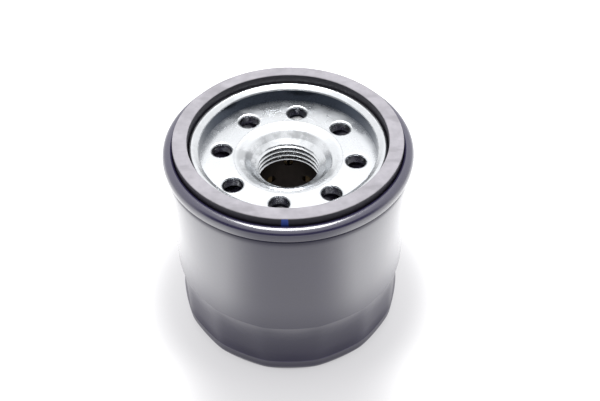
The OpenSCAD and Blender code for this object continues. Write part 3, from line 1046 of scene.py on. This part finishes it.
def light_sky():
    """A white room with a dark belt at half height round the front and the sides."""
    world = bpy.data.worlds.new("room")
    bpy.context.scene.world = world
    tree = NodeTree(world)
    x, y, z = tree.axes(tree.node("ShaderNodeTexCoord", output="Generated"))
    behind = tree.math("DIVIDE", y, (x * x + y * y) ** 0.5)
    height = tree.step(z, 0.02, 0.30) * (1 - tree.step(z, 0.55, 0.74))
    belt = height * (1 - tree.step(behind, -0.5, 0.1))
    room = tree.mix((1.0, 1.0, 1.0), (0.03, 0.033, 0.045), belt)
    glow = tree.node("ShaderNodeBackground", {}, {"Color": room, "Strength": 1.15})
    tree.node("ShaderNodeOutputWorld", {}, {"Surface": glow})


def hang_light(name, place, aim, size, power):
    """A square soft light."""
    data = bpy.data.lights.new(name, "AREA")
    data.shape = "SQUARE"
    data.size = size
    data.energy = power
    light = bpy.data.objects.new(name, data)
    light.matrix_world = Matrix.Translation(place) @ (
        (Vector(aim) - Vector(place)).to_track_quat("-Z", "Y").to_matrix().to_4x4()
    )
    light.visible_camera = False
    bpy.context.scene.collection.objects.link(light)


def floor_finish(tree):
    """A white sweep that glows by its own emission, with painted shadow: dimmer round the filter and in front of
    it, and a painted contact shadow, nearly black, under it.
    """
    pale = settings().colours.floor
    _, y, _ = tree.axes()
    radius = tree.radius()
    # the floor's light is its own emission; a painted shadow dims it in front of the filter and in a ring round
    # it, and a painted contact shadow darkens it under the can
    ahead = 1 - tree.step(tree.math("DIVIDE", y, radius), -0.97, -0.6)
    under = 1 - tree.step(radius, CAN.outer - 3.7 * MM, CAN.outer - 1.7 * MM)
    glow = tree.mix((1.6, 1.6, 1.6), (0.585, 0.58, 0.595), ahead)
    glow = tree.mix((0.575, 0.57, 0.585), glow, tree.step(radius, 37 * MM, 66 * MM))
    return {
        "Base Color": (*shade(pale, 0.2), 1.0),
        "Roughness": 0.9,
        "Specular IOR Level": 0.0,
        "Emission Color": tree.mix(glow, (0.01, 0.01, 0.012), under),
        "Emission Strength": 1.0,
    }


class OILFILTER_OT_stage(bpy.types.Operator):
    """Sets the floor, the lights and the camera"""

    bl_idname = "oilfilter.stage"
    bl_label = "Stage"

    def execute(self, context):
        bm = bmesh.new()
        bmesh.ops.create_grid(bm, x_segments=2, y_segments=2, size=3.0)
        mesh = bpy.data.meshes.new("floor")
        bm.to_mesh(mesh)
        bm.free()
        mesh.materials.append(finish("floor", floor_finish))
        floor = bpy.data.objects.new("floor", mesh)
        context.scene.collection.objects.link(floor)
        aim_camera()
        light_sky()
        hang_light("overhead", (0, 0.12, 0.75), (0, 0, 0.06), 0.34, 6.0)
        context.scene.view_settings.view_transform = "Standard"
        return {"FINISHED"}


class OILFILTER_PT_panel(bpy.types.Panel):
    """The filter's builders and sizes"""

    bl_idname = "OILFILTER_PT_panel"
    bl_label = "Oil Filter"
    bl_space_type = "VIEW_3D"
    bl_region_type = "UI"
    bl_category = "Oil Filter"

    def draw(self, context):
        for operator in OPERATORS:
            self.layout.operator(operator.bl_idname)
        groups = context.scene.oil_filter
        for name in groups.bl_rna.properties.keys():
            group = getattr(groups, name, None)
            if not isinstance(group, bpy.types.PropertyGroup):
                continue
            box = self.layout.box()
            box.label(text=name.capitalize())
            for size in group.__annotations__:
                box.prop(group, size)


OPERATORS = (
    OILFILTER_OT_can,
    OILFILTER_OT_lid,
    OILFILTER_OT_gasket,
    OILFILTER_OT_plate,
    OILFILTER_OT_valve,
    OILFILTER_OT_bypass,
    OILFILTER_OT_element,
    OILFILTER_OT_stage,
)
GROUPS = (CanSizes, LidSizes, GasketSizes, PlateSizes, InsideSizes, Colours, FilterSettings)


def register():
    for item in (*GROUPS, *OPERATORS, OILFILTER_PT_panel):
        bpy.utils.register_class(item)
    bpy.types.Scene.oil_filter = bpy.props.PointerProperty(
        name="Oil filter", description="Sizes and colours of the oil filter", type=FilterSettings
    )


def unregister():
    del bpy.types.Scene.oil_filter
    for item in reversed((*GROUPS, *OPERATORS, OILFILTER_PT_panel)):
        bpy.utils.unregister_class(item)


def main():
    register()
    for step in ("can", "lid", "gasket", "plate", "valve", "bypass", "element", "stage"):
        getattr(bpy.ops.oilfilter, step)()


if __name__ == "__main__":
    main()
